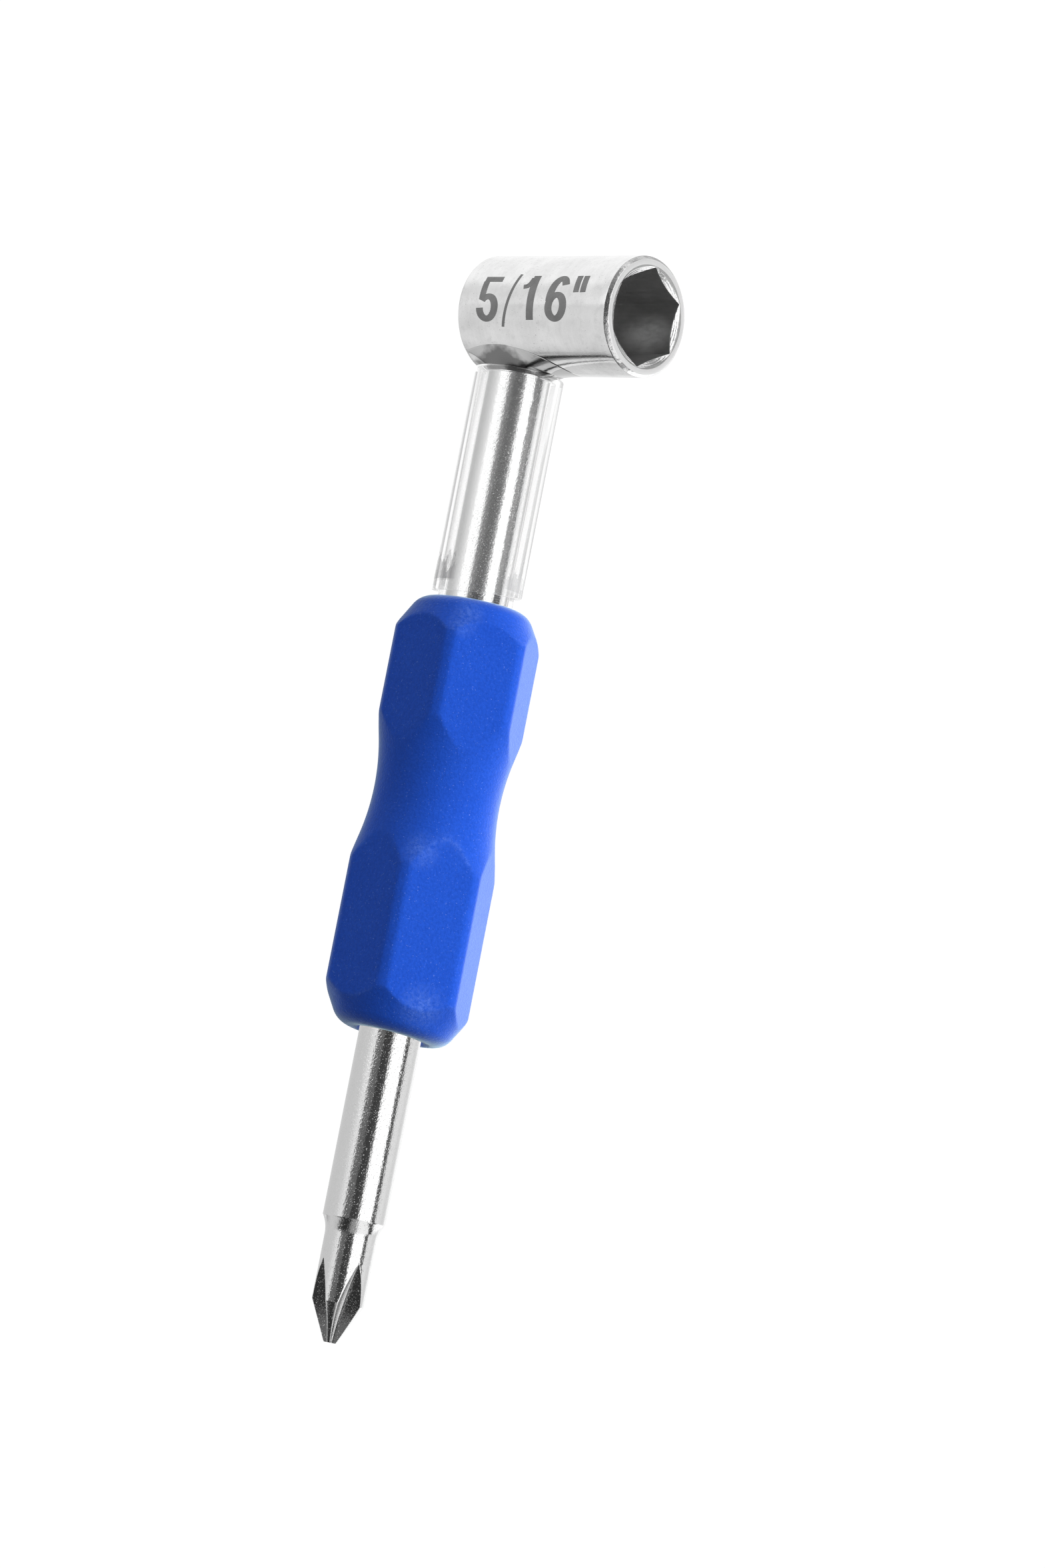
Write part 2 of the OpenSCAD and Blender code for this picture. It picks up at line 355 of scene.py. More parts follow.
def shank_mesh():
    """The bar from inside the barrel to its cross point, with more points where a flute is cut."""
    rings = []
    for radius, z in shank_outline():
        height = z - TIP_END
        knots = np.linspace(0, EIGHTH, WING_POINTS + FLANK_POINTS)
        if height < FLUTE_RUN + RUN_OUT:
            loose = min(max((height - FLUTE_RUN) / RUN_OUT, 0), 1)
            knots = tip_section(radius, min(height, FLUTE_RUN)) * (1 - loose) + knots * loose
        whole = np.concatenate([knots[:-1], 2 * EIGHTH - knots[:0:-1]])
        turns = np.concatenate([whole + quarter * math.pi / 2 for quarter in range(4)])
        wall = np.full_like(turns, radius)
        if height < FLUTE_RUN:
            off = np.abs((turns % (math.pi / 2)) - EIGHTH)
            wall = np.minimum(flute_radius(off, np.full_like(turns, height)), radius)
        spot = np.stack([wall * np.cos(turns + TIP_TURN), wall * np.sin(turns + TIP_TURN)], -1)
        if height < FLUTE_RUN:
            for _ in range(SMOOTHINGS):
                spot = (np.roll(spot, 1, 0) + 2 * spot + np.roll(spot, -1, 0)) / 4
        rings.append(np.column_stack([spot, np.full(len(spot), z)]))
    return skin("shank", rings)


# How far the handle's turned outline stands out past its corners, where the hexagon cuts it off
OVER_CORNER = 0.3 * MM
# The edge of the handle's upper bore: steps outwards and down
BORE_EDGE = ((0.0, 0.2 * MM), (0.06 * MM, 0.06 * MM), (0.2 * MM, 0.0))
# Breadth of the painted highlight along the creases, and how strong it is above and below the waist's
# middle
CREASE_HIGHLIGHT = 0.06 * MM
UPPER_HIGHLIGHT = 0.15
LOWER_HIGHLIGHT = 0.8


def end_outline():
    """A handle's end: points (r, height) from near the bore, over its rounding and up its cone."""
    edge = HANDLE_FLAT - END_RUN * math.tan(END_CONE)
    flat = edge - END_ROUND * math.tan((math.pi / 2 - END_CONE) / 2)
    points = arc((flat, END_ROUND), END_ROUND, -90, -math.degrees(END_CONE), END_RINGS)
    top = points[-1]
    out = CORNER_R + OVER_CORNER - top[0]
    rise = out / math.tan(END_CONE)
    shares = np.linspace(0, 1, END_RINGS)[1:]
    return points + [(top[0] + out * share, top[1] + rise * share) for share in shares]


def handle_mesh():
    """The moulded handle: a hexagon with a round waist, coned and rounded ends, and its bore.

    Its creases, where a turned form meets a flat, are marked for a painted highlight in a point attribute.
    """
    turns = np.arange(AROUND) * math.tau / AROUND
    flats = hexagon(turns, HANDLE_FLAT, FACET_ROUND)
    flats = soft_least(flats, np.full(AROUND, CORNER_R), CORNER_SOFT)
    waist_z = HANDLE_TOP - WAIST_DROP
    low_z = HANDLE_TOP - HANDLE_LEN
    highlight_shares = []

    def ring(radius, z, slant=0.0, cut=True, highlit=1.0):
        radius = np.full(AROUND, radius)
        # Painted highlight: each crease's share falls off with the distance from where the flats cut the
        # turned form
        highlight_shares.append(np.exp(-np.abs(flats - radius) / CREASE_HIGHLIGHT) * cut * highlit)
        if cut:
            radius = soft_least(flats, radius, FACET_SOFT)
        x, y = radius * np.cos(turns), radius * np.sin(turns)
        return np.stack([x, y, z - slant * y], -1)

    rings = [ring(SHANK_R + out, HANDLE_TOP - down, cut=False) for out, down in BORE_EDGE]
    rings += [ring(r, HANDLE_TOP - h) for r, h in end_outline()]
    out = CORNER_R + OVER_CORNER
    bend = math.acos((WAIST_ROUND - (out - WAIST_R)) / WAIST_ROUND)
    for turn in np.linspace(bend, -bend, WAIST_RINGS):
        highlit = UPPER_HIGHLIGHT if turn > 0 else LOWER_HIGHLIGHT
        radius = WAIST_R + WAIST_ROUND * (1 - math.cos(turn))
        rings.append(ring(radius, waist_z + WAIST_ROUND * math.sin(turn), highlit=highlit))
    waist_end = waist_z - WAIST_ROUND * math.sin(bend)
    ends = end_outline()[::-1]
    slope = math.tan(END_SLANT)
    first = low_z + ends[0][1]
    for share in np.linspace(0, 1, FLAT_RINGS)[1:-1]:
        rings.append(ring(out, waist_end + (first - waist_end) * share, slope * share))
    rings += [ring(r, low_z + h, slope) for r, h in ends]
    mouth_r = SHANK_R + MOUTH_GAP
    rings.append(ring(mouth_r + MOUTH_EDGE, low_z, slope, cut=False))
    rings.append(ring(mouth_r, low_z + MOUTH_EDGE, slope, cut=False))
    rings += [ring(r, low_z + MOUTH_DEPTH, cut=False) for r in (mouth_r, SHANK_R)]
    mesh = skin("handle", rings, closed=True)
    marked = mesh.attributes.new("crease_highlight", "FLOAT", "POINT")
    marked.data.foreach_set("value", np.concatenate(highlight_shares))
    return mesh


# Node trees

MATHS = "ShaderNodeMath"
VECTORS = "ShaderNodeVectorMath"
RANGE = "ShaderNodeMapRange"
MIX = "ShaderNodeMix"


def feed(tree, node, *values, **named):
    """Gives a node its values, in the order of its open sockets or by name, and its settings.

    A name with a capital is a socket's, with underscores for spaces. A value that is another node,
    or one of its outputs, is linked.
    """
    for name, value in named.items():
        if name[0].islower():
            setattr(node, name, value)
    pairs = list(zip([socket for socket in node.inputs if socket.enabled], values))
    pairs += [
        (node.inputs[name.replace("_", " ")], value)
        for name, value in named.items() if name[0].isupper()
    ]
    for socket, value in pairs:
        if isinstance(value, bpy.types.Node):
            value = next(output for output in value.outputs if output.enabled)
        if isinstance(value, bpy.types.NodeSocket):
            tree.links.new(value, socket)
        else:
            socket.default_value = value
    return node


def add(tree, kind, *values, **named):
    """Adds a node of a kind and feeds it."""
    return feed(tree, tree.nodes.new(kind), *values, **named)


def srgb(code):
    """An sRGB hex colour as linear values, by the standard's own curve."""
    parts = [int(code[i:i + 2], 16) / 255 for i in (1, 3, 5)]
    return tuple(p / 12.92 if p <= 0.04045 else ((p + 0.055) / 1.055) ** 2.4 for p in parts) + (1.0,)


# The sleeves' tube

TUBE_AROUND = 192
RIM_STEPS = 3


def sleeve_tree():
    """A length of tube round the Z axis from its lower end at zero, which is cut at a slant."""
    tree = bpy.data.node_groups.new("cut_tube", "GeometryNodeTree")
    length = inner_high.x - inner_low.x
    sizes = {"Bore": INNER_BORE, "Wall": INNER_WALL, "Length": length, "Rim": RIM, "Slope": 0.0}
    for name, value in sizes.items():
        size = tree.interface.new_socket(name, in_out="INPUT", socket_type="NodeSocketFloat")
        size.default_value = value
    tree.interface.new_socket("Plastic", in_out="INPUT", socket_type="NodeSocketMaterial")
    tree.interface.new_socket("Tube", in_out="OUTPUT", socket_type="NodeSocketGeometry")
    given = add(tree, "NodeGroupInput").outputs
    middle = add(tree, MATHS, given["Bore"], given["Wall"], operation="ADD")
    middle = add(tree, MATHS, middle, 0.5, operation="MULTIPLY")
    circle = add(tree, "GeometryNodeCurvePrimitiveCircle", Resolution=TUBE_AROUND, Radius=middle)
    section = add(tree, "GeometryNodeCurvePrimitiveQuadrilateral",
                  Width=given["Wall"], Height=given["Length"])
    rounded = add(tree, "GeometryNodeFilletCurve",
                  Curve=section, Radius=given["Rim"], Count=RIM_STEPS, mode="POLY")
    tube = add(tree, "GeometryNodeCurveToMesh", Curve=circle, Profile_Curve=rounded)
    # The tube is made about its middle: all of it is lifted, and its lower end is slanted
    place = add(tree, "ShaderNodeSeparateXYZ", add(tree, "GeometryNodeInputPosition")).outputs
    lower = add(tree, MATHS, place["Z"], 0.0, operation="LESS_THAN")
    drop = add(tree, MATHS, place["Y"], given["Slope"], operation="MULTIPLY")
    drop = add(tree, MATHS, drop, lower, operation="MULTIPLY")
    half = add(tree, MATHS, given["Length"], 0.5, operation="MULTIPLY")
    lift = add(tree, "ShaderNodeCombineXYZ", Z=add(tree, MATHS, half, drop, operation="ADD"))
    moved = add(tree, "GeometryNodeSetPosition", Geometry=tube, Offset=lift)
    real = add(tree, "GeometryNodeRealizeInstances", Geometry=moved)
    dressed = add(tree, "GeometryNodeSetMaterial", Geometry=real, Material=given["Plastic"])
    add(tree, "NodeGroupOutput", Tube=dressed)
    return tree


def sleeve_mesh(tree, name, plastic, **sizes):
    """A plain mesh of the tree's tube at the given sizes."""
    obj = bpy.data.objects.new(name, bpy.data.meshes.new(name))
    bpy.context.scene.collection.objects.link(obj)
    made = obj.modifiers.new("tube", "NODES")
    made.node_group = tree
    given = {"Plastic": plastic, **sizes}
    for socket in tree.interface.items_tree:
        if socket.name in given:
            made[socket.identifier] = given[socket.name]
    bpy.context.view_layer.update()
    seen = obj.evaluated_get(bpy.context.evaluated_depsgraph_get())
    mesh = bpy.data.meshes.new_from_object(seen)
    bpy.data.objects.remove(obj)
    return mesh


# Materials. A size is that of a pattern's grains. The finest are drawn at 0.05 to 0.12 mm, which is
# coarser than the real ones, as those are too fine to show in the render. After a pattern, the first
# two numbers say where between 0 and 1 it starts to tell and ends, and the next two what it gives.

# Breadth of a grain in a noise of scale 1
NOISE_GRAIN = 0.5


def material(name):
    """A new material, its node tree and its shader."""
    made = bpy.data.materials.new(name)
    made.use_nodes = True
    return made, made.node_tree, made.node_tree.nodes["Principled BSDF"]


def here(tree, scale=(1, 1, 1), turn=(0, 0, 0), centre=(0, 0, 0)):
    """Places on the piece, in metres, turned and scaled about a centre."""
    spot = add(tree, "ShaderNodeTexCoord").outputs["Object"]
    moved = add(tree, VECTORS, spot, centre, operation="SUBTRACT")
    return add(tree, "ShaderNodeMapping", Vector=moved, Rotation=turn, Scale=scale)


def grains(tree, size, detail=2.0, rough=0.5, **place):
    """A cloudy pattern on the piece whose grains measure about size, in a place given as for here."""
    return add(tree, "ShaderNodeTexNoise", Vector=here(tree, **place), Scale=NOISE_GRAIN / size,
               Detail=detail, Roughness=rough)


def relief(tree, *layers):
    """Bumps on top of one another, each from a pattern and its depth in metres."""
    normal = None
    for pattern, depth in layers:
        bump = add(tree, "ShaderNodeBump", Height=pattern, Distance=depth)
        if normal:
            feed(tree, bump, Normal=normal)
        normal = bump
    return normal


def coats(tree, ground, *layers):
    """A colour with others over it, each from a pattern and an sRGB hex colour."""
    colour = srgb(ground)
    for pattern, code in layers:
        colour = add(tree, MIX, pattern, colour, srgb(code), data_type="RGBA")
    return colour


def bright_steel():
    """Nickel-plated drawn bar: mirror bright, with a fine pebbly grain that frays its reflections."""
    made, tree, shader = material("nickel_plated_bar")
    pebbles = grains(tree, 0.075 * MM, detail=1.0, scale=(0.7, 1, 1))
    pits = add(tree, RANGE, grains(tree, 0.05 * MM, detail=0.0), 0.69, 0.81)
    drawn = grains(tree, 0.12 * MM, scale=(0.02, 1, 1))
    feed(tree, shader, Metallic=1.0,
         Base_Color=coats(tree, "#CECECE", (pebbles, "#D8D8D8")),
         Roughness=add(tree, RANGE, drawn, 0.3, 0.7, 0.06, 0.11),
         Normal=relief(tree, (pebbles, 0.012 * MM), (pits, 0.008 * MM), (drawn, 0.002 * MM)))
    return made


def satin_steel():
    """Nickel over a tumbled blank: satin grey, with faint turning lines, pin pits and a few scratches."""
    made, tree, shader = material("satin_nickel_barrel")
    mottle = grains(tree, 1.1 * MM, detail=4.0, rough=0.6)
    grit = grains(tree, 0.06 * MM)
    turned = grains(tree, 0.1 * MM, detail=3.0, scale=(0.06, 1, 0.06))
    smudges = grains(tree, 0.5 * MM, detail=4.0, rough=0.65)
    scratches = grains(tree, 0.07 * MM, detail=1.0, scale=(1, 0.2, 1), turn=(0, 0, 0.5))
    pits = add(tree, RANGE, grains(tree, 0.085 * MM), 0.66, 0.76)
    marks = add(tree, MATHS, pits, add(tree, RANGE, scratches, 0.74, 0.8), operation="MAXIMUM")
    patchy = add(tree, RANGE, grains(tree, 1.6 * MM), 0.4, 0.6, 0.15, 1.0)
    marks = add(tree, MATHS, marks, patchy, operation="MULTIPLY")
    colour = coats(tree, "#DCDCDC",
                   (add(tree, RANGE, mottle, 0.3, 0.7), "#ECECEC"),
                   (add(tree, RANGE, turned, 0.35, 0.65, 0.0, 0.1), "#C4C4C4"),
                   (add(tree, RANGE, smudges, 0.52, 0.72, 0.0, 0.3), "#BABABA"),
                   (add(tree, RANGE, marks, 0.0, 1.0, 0.0, 0.6), "#7C7C7C"))
    feed(tree, shader, Metallic=1.0, Base_Color=colour,
         Roughness=add(tree, RANGE, mottle, 0.3, 0.7, 0.07, 0.1),
         Normal=relief(tree, (grit, 0.004 * MM), (turned, 0.0015 * MM), (marks, -0.006 * MM)))
    return made


def faced_steel():
    """The mouth's face, turned flat and left bare: pale and matt."""
    made, tree, shader = material("faced_ring")
    feed(tree, shader, Metallic=0.6, Roughness=0.38, Base_Color=srgb("#DEDEDE"),
         Normal=relief(tree, (grains(tree, 0.1 * MM, detail=3.0), 0.012 * MM)))
    return made


def filed_steel():
    """The mouth's broken edge: rough-cut grey steel that glints here and there."""
    made, tree, shader = material("filed_edge")
    cuts = grains(tree, 0.3 * MM, detail=3.0, rough=0.6)
    feed(tree, shader, Metallic=1.0, Roughness=0.22, Base_Color=srgb("#D8D8D8"),
         Normal=relief(tree, (cuts, 0.07 * MM)))
    return made


def turned_steel():
    """The countersink, as cut on a lathe: bright rings that glint."""
    made, tree, shader = material("turned_countersink")
    spot = here(tree, centre=(AXIS_X, 0, AXIS_Z))
    wave = add(tree, "ShaderNodeTexWave", Vector=spot, Scale=1.6 / MM, Distortion=1.2, Detail=2.0,
               Detail_Scale=1.5, wave_type="RINGS", rings_direction="Y")
    rings = wave.outputs["Fac"]
    feed(tree, shader, Metallic=1.0, Roughness=0.24, Base_Color=srgb("#E6E6E6"),
         Normal=relief(tree, (rings, 0.014 * MM), (grains(tree, 0.16 * MM), 0.035 * MM)))
    return made


# Middle of the painted pool of light on the hexagon's lower wall
LIGHT_POOL_PLACE = (AXIS_X - 0.5 * MM, AXIS_Y - 10.9 * MM, AXIS_Z - HEX_FLAT)


def broached_steel():
    """The broached hexagon: bare grey steel with lines drawn along it, and a painted pool of light on the
    wall in view.
    """
    made, tree, shader = material("broached_hexagon")
    lines = grains(tree, 0.12 * MM, detail=3.0, scale=(1, 0.03, 1))
    smears = grains(tree, 0.45 * MM, detail=4.0, rough=0.65, scale=(1, 0.45, 1))
    # Painted pool of light: round this place the wall turns white and less metallic, standing in for light
    # from the mouth
    away = add(tree, VECTORS, here(tree, scale=(1, 0.6, 1), centre=LIGHT_POOL_PLACE), operation="LENGTH")
    near = add(tree, RANGE, away, 0.4 * MM, 2.1 * MM, 1.0, 0.0)
    ragged = add(tree, RANGE, smears, 0.25, 0.6, 0.4, 1.0)
    light_pool = add(tree, MATHS, near, ragged, operation="MULTIPLY")
    feed(tree, shader, Metallic=add(tree, RANGE, light_pool, 0.0, 1.0, 1.0, 0.15),
         Base_Color=coats(tree, "#A0A0A0", (smears, "#CACACA"), (light_pool, "#FFFFFF")),
         Roughness=add(tree, RANGE, lines, 0.3, 0.7, 0.5, 0.65),
         Normal=relief(tree, (lines, 0.01 * MM)))
    return made


def braze():
    """Braze metal under the plating, polished by hand, with painted shade that darkens it near the shank.
    """
    made, tree, shader = material("plated_braze")
    centre = (0, AXIS_Y, AXIS_Z)
    waves = grains(tree, 0.5 * MM, centre=centre)
    grit = grains(tree, 0.07 * MM, detail=1.0, centre=centre)
    away = add(tree, VECTORS, here(tree, scale=(0, 1, 1), centre=centre), operation="LENGTH")
    frayed = add(tree, RANGE, waves, 0.3, 0.7, -0.25 * MM, 0.25 * MM)
    away = add(tree, MATHS, away, frayed, operation="ADD")
    # Painted shade: darker towards the braze's foot on the shank, with a frayed edge
    foot_shade = add(tree, RANGE, away, SHANK_R + 0.8 * MM, SHANK_R + 1.4 * MM, 1.0, 0.0)
    feed(tree, shader, Metallic=1.0, Roughness=0.1,
         Base_Color=coats(tree, "#C4C4C4", (foot_shade, "#7A7A7A")),
         Normal=relief(tree, (waves, 0.012 * MM), (grit, 0.002 * MM)))
    return made


def etched_steel():
    """The etched size mark: darkened metal, matt and grey, a little broken up by the satin under it."""
    made, tree, shader = material("etched_mark")
    clouds = add(tree, RANGE, grains(tree, 0.6 * MM), 0.3, 0.7)
    flecks = add(tree, RANGE, grains(tree, 0.12 * MM), 0.5, 0.8, 0.0, 0.15)
    feed(tree, shader, Metallic=1.0, Roughness=0.45,
         Base_Color=coats(tree, "#787878", (clouds, "#848484"), (flecks, "#A8A8A8")))
    return made


# Places where a highlight is painted on the handle: drop from its top, turn from the camera and reach
HIGHLIGHT_SPOTS = (
    (2.8 * MM, -7, 1.5 * MM),
    (1.4 * MM, -4, 1.8 * MM),
    (23.6 * MM, -4, 2.0 * MM),
    (37.4 * MM, 22, 2.6 * MM),
    (37.6 * MM, -68, 1.6 * MM),
)


def blue_plastic():
    """Moulded polypropylene: matt blue with a fine spark-eroded grain, and painted highlights in places.

    The sheen stands for the way its grain catches light from behind. Its creases get a painted highlight
    too, by the mesh's point attribute for them.
    """
    made, tree, shader = material("grained_polypropylene")
    grain = grains(tree, 0.12 * MM, detail=3.0, rough=0.6)
    hollows = add(tree, RANGE, grain, 0.35, 0.65, 0.0, 0.3)
    specks = add(tree, RANGE, grains(tree, 0.07 * MM, detail=1.0), 0.68, 0.78, 0.0, 0.75)
    # Painted highlight in pale blue: in patches along the creases, and round the spots in the table above
    crease = add(tree, "ShaderNodeAttribute", attribute_name="crease_highlight").outputs["Fac"]
    patchy = add(tree, RANGE, grains(tree, 1.6 * MM), 0.42, 0.62, 0.1, 0.9)
    highlit = add(tree, MATHS, crease, patchy, operation="MULTIPLY")
    for drop, turn, reach in HIGHLIGHT_SPOTS:
        centre = Vector((AXIS_X + HANDLE_TOP - drop, AXIS_Y, AXIS_Z)) + round_shank(turn) * HANDLE_FLAT
        away = add(tree, VECTORS, here(tree, centre=centre), operation="LENGTH")
        near = add(tree, RANGE, away, 0.0, reach, 1.0, 0.0)
        highlit = add(tree, MATHS, highlit, near, operation="MAXIMUM")
    ragged = add(tree, RANGE, grains(tree, 0.15 * MM, detail=4.0, rough=0.7), 0.35, 0.7)
    highlit = add(tree, MATHS, highlit, ragged, operation="MULTIPLY")
    colour = coats(tree, "#2359D8", (grains(tree, 3.0 * MM), "#2961E2"), (hollows, "#0C3AA8"),
                   (specks, "#6F90E8"), (highlit, "#5C86EE"))
    feed(tree, shader, Metallic=0.0, Base_Color=colour, IOR=1.49, Specular_IOR_Level=0.03,
         Sheen_Weight=1.0, Sheen_Roughness=0.35, Sheen_Tint=srgb("#DCFAFF"),
         Roughness=add(tree, RANGE, grain, 0.3, 0.7, 0.42, 0.55),
         Normal=relief(tree, (grain, 0.04 * MM)))
    return made


# How clear the tubing is, and how clear where it clings to the tube under it
CLEAR = 0.97
CLINGING = 0.7


def clinging(tree):
    """Ragged patches on two sides of the outer tube, thinning out from its cut end.

    They are fixed to the tube, on the sides that the photograph shows beside the shank.
    """
    spot = add(tree, "ShaderNodeSeparateXYZ", here(tree, centre=(outer_low.x, AXIS_Y, AXIS_Z))).outputs
    level = add(tree, MATHS, spot["Y"], math.sin(VIEW_AZIMUTH), operation="MULTIPLY")
    upright = add(tree, MATHS, spot["Z"], math.cos(VIEW_AZIMUTH), operation="MULTIPLY")
    across = add(tree, MATHS, level, upright, operation="ADD")
    beside = add(tree, RANGE, add(tree, MATHS, across, operation="ABSOLUTE"), 2.2 * MM, 2.7 * MM)
    off_the_end = add(tree, RANGE, spot["X"], 1.0 * MM, 1.1 * MM)
    thinning = add(tree, RANGE, spot["X"], 0.8 * MM, 5.2 * MM, 0.28, 0.78)
    ragged = grains(tree, 0.35 * MM, detail=4.0, rough=0.7, scale=(0.35, 1, 1))
    patch = add(tree, MATHS, ragged, thinning, operation="GREATER_THAN")
    for edge in (beside, off_the_end):
        patch = add(tree, MATHS, patch, edge, operation="MULTIPLY")
    return patch


def clear_tube(name, bend, coat, clings):
    """Soft clear vinyl tubing: glossy and a little hazy. The outer one clings in grey patches."""
    made, tree, shader = material(name)
    waves = grains(tree, 2.4 * MM, detail=0.0, scale=(0.08, 1, 1))
    look = {"Base_Color": srgb("#FFFFFF"), "Transmission_Weight": CLEAR}
    if clings:
        patch = clinging(tree)
        look["Base_Color"] = coats(tree, "#FFFFFF", (patch, "#D2D2D2"))
        look["Transmission_Weight"] = add(tree, RANGE, patch, 0.0, 1.0, CLEAR, CLINGING)
    feed(tree, shader, Metallic=0.0, Roughness=0.07, IOR=bend, Coat_Weight=coat, Coat_IOR=1.4,
         Coat_Roughness=0.09, Normal=relief(tree, (waves, 0.001 * MM)), **look)
    return made


# Pieces

def paint(obj, *made):
    """Gives a piece its materials, in the order of its slots."""
    obj.data.materials.clear()
    for look in made:
        obj.data.materials.append(look)


def make_barrel():
    """The barrel, with a material for each way that a part of it was cut."""
    obj = piece("socket_barrel_looks", barrel_mesh(), "tool", "plated_steel", "socket_barrel")
    paint(obj, satin_steel(), turned_steel(), broached_steel(), faced_steel(), filed_steel())
    side, cone, bore, ring, broken = range(5)
    for face in obj.data.polygons:
        place = face.center
        radius = math.hypot(place.x - AXIS_X, place.z - AXIS_Z)
        depth = place.y - barrel_low.y
        if radius > BARREL_R - MOUTH_BREAK and depth < MOUTH_BREAK + BREAK_SOFT:
            face.material_index = broken
        elif depth > HEX_DEPTH + CHIP_DEPTH + SOFT_EDGE or radius > BARREL_R - MOUTH_BREAK:
            face.material_index = side
        elif radius > LEAD_IN_R:
            face.material_index = ring
        elif depth < (LEAD_IN_R - radius) / LEAD_IN_SLOPE + SOFT_EDGE / 4:
            face.material_index = cone
        else:
            face.material_index = bore


# Strokes of the size mark, in mm: places along the barrel from the shank's axis, and round its side
# from level with that axis. Upright strokes are broader than level ones.
STROKE = 0.57
STROKE_STRETCH = 1.5
MARK_LIFT = 0.004
STROKE_LIFT = 0.001


def bow(centre, reach, start, end, steps=BOW_STEPS):
    """Points on an ellipse, from one angle to another in degrees."""
    turns = np.radians(np.linspace(start, end, steps))
    return np.stack([centre[0] + reach[0] * np.cos(turns), centre[1] + reach[1] * np.sin(turns)], -1)


def line(*corners):
    """Points along straight runs between corners, close enough to bend round the barrel."""
    points = [np.array(corners[0], float)[None]]
    for start, end in zip(corners, corners[1:]):
        shares = np.linspace(0, 1, STROKE_STEPS)[1:, None]
        points.append(np.array(start) + (np.array(end) - np.array(start)) * shares)
    return np.concatenate(points)


# The size, five sixteenths of an inch, as plain numbers: each stroke's middle line and breadth
STROKES = (
    (line((0.60, 2.06), (-1.58, 2.06)), STROKE),
    (line((-1.30, 1.85), (-1.27, 0.02)), 0.85 * STROKE),
    (bow((-0.50, -0.73), (0.92, 1.03), 143, -178), STROKE),
    (line((2.57, 2.65), (1.50, -2.49)), 0.38 * STROKE),
    (line((4.69, 2.46), (4.85, -1.85)), STROKE),
    (line((3.50, 1.25), (3.95, 1.31), (4.27, 1.62), (4.42, 2.2)), 0.75 * STROKE),
    (bow((7.94, -0.62), (0.88, 1.09), 0, 360, 64), STROKE),
    (bow((7.94, 0.22), (0.88, 1.94), 40, 190), STROKE),
    (line((9.90, 2.46), (10.08, 0.72)), 0.75 * STROKE),
    (line((10.71, 2.46), (10.91, 0.73)), 0.75 * STROKE),
)


def make_mark():
    """The size mark: flat ribbons wrapped on the barrel's side."""
    points, faces = [], []
    for number, (middle, breadth) in enumerate(STROKES):
        flat = middle / (STROKE_STRETCH, 1)
        run = np.gradient(flat, axis=0)
        if np.allclose(flat[0], flat[-1]):
            run[0] = run[-1] = run[0] + run[-1]
        run /= np.linalg.norm(run, axis=1)[:, None]
        side = np.stack([-run[:, 1], run[:, 0]], -1) * breadth / 2
        first = len(points)
        radius = BARREL_R + (MARK_LIFT + number * STROKE_LIFT) * MM
        for across in (-1, 0, 1):
            for x, round_it in (flat + across * side) * (STROKE_STRETCH, 1):
                turn = round_it * MM / BARREL_R
                points.append((x * MM, -radius * math.cos(turn), radius * math.sin(turn)))
        count = len(flat)
        for row in (0, count):
            for k in range(first + row, first + row + count - 1):
                faces.append((k, k + 1, k + count + 1, k + count))
    mesh = bpy.data.meshes.new("size_mark")
    mesh.from_pydata(points, [], faces)
    mesh.shade_smooth()
    paint(piece("size_mark", mesh, "tool", None), etched_steel())


# The tubes bend light less than vinyl does, which keeps their rims as pale as they are, and the
# inner one has little gloss, as the outer one is stretched over it
OUTER_BEND = 1.1
OUTER_GLOSS = 1.0
INNER_BEND = 1.03
INNER_GLOSS = 0.3


def make_sleeves():
    """Both tubes. They cast no shadow, as the real ones are clear."""
    tree = sleeve_tree()
    inner = clear_tube("clear_inner_tube", INNER_BEND, INNER_GLOSS, clings=False)
    outer = clear_tube("clear_outer_tube", OUTER_BEND, OUTER_GLOSS, clings=True)
    for name, low, high, bore, wall, slope, look in (
        ("inner_sleeve", inner_low, inner_high, INNER_BORE, INNER_WALL, 0.0, inner),
        ("outer_sleeve", outer_low, outer_high, OUTER_BORE, OUTER_WALL, math.tan(CUT_SLANT), outer),
    ):
        slanted = (bore / 2 + wall) * slope
        length = high.x - low.x - slanted
        mesh = sleeve_mesh(tree, name, look, Bore=bore, Wall=wall, Length=length, Slope=slope)
        mesh.shade_smooth()
        mesh.transform(Matrix.Translation((0, 0, low.x - AXIS_X + slanted)))
        obj = piece(name + "_looks", mesh, "sleeve", "clear_plastic", name)
        obj.visible_shadow = False
        obj.visible_glossy = False


make_barrel()
make_mark()
paint(piece("shank_looks", shank_mesh(), "tool", "plated_steel", "shank"), bright_steel())
paint(piece("braze_fillet_looks", braze_mesh(), "tool", "braze_metal", "braze_fillet"), braze())
handle = piece("handle_looks", handle_mesh(), "tool", "handle_plastic", "handle")
paint(handle, blue_plastic())
handle.visible_glossy = False
make_sleeves()


# Floor, light and camera

FLOOR_REACH = 6.0
SENSOR_WIDTH = 36.0
CLIP_NEAR = 0.01


def make_floor():
    """A pale, softly lit table that the chrome doesn't mirror."""
    side = FLOOR_REACH
    corners = [(-side, -side, 0), (side, -side, 0), (side, side, 0), (-side, side, 0)]
    mesh = bpy.data.meshes.new("table")
    mesh.from_pydata(corners, [], [(0, 1, 2, 3)])
    table = bpy.data.objects.new("table", mesh)
    bpy.context.scene.collection.objects.link(table)
    made, tree, shader = material("pale_table")
    feed(tree, shader, Base_Color=srgb("#5A5A5A"), Roughness=0.9, Specular_IOR_Level=0.0,
         Emission_Color=srgb("#FFFFFF"), Emission_Strength=1.0)
    mesh.materials.append(made)
    table.visible_glossy = False
    table.visible_diffuse = False
    table.visible_transmission = False
    table.visible_shadow = False
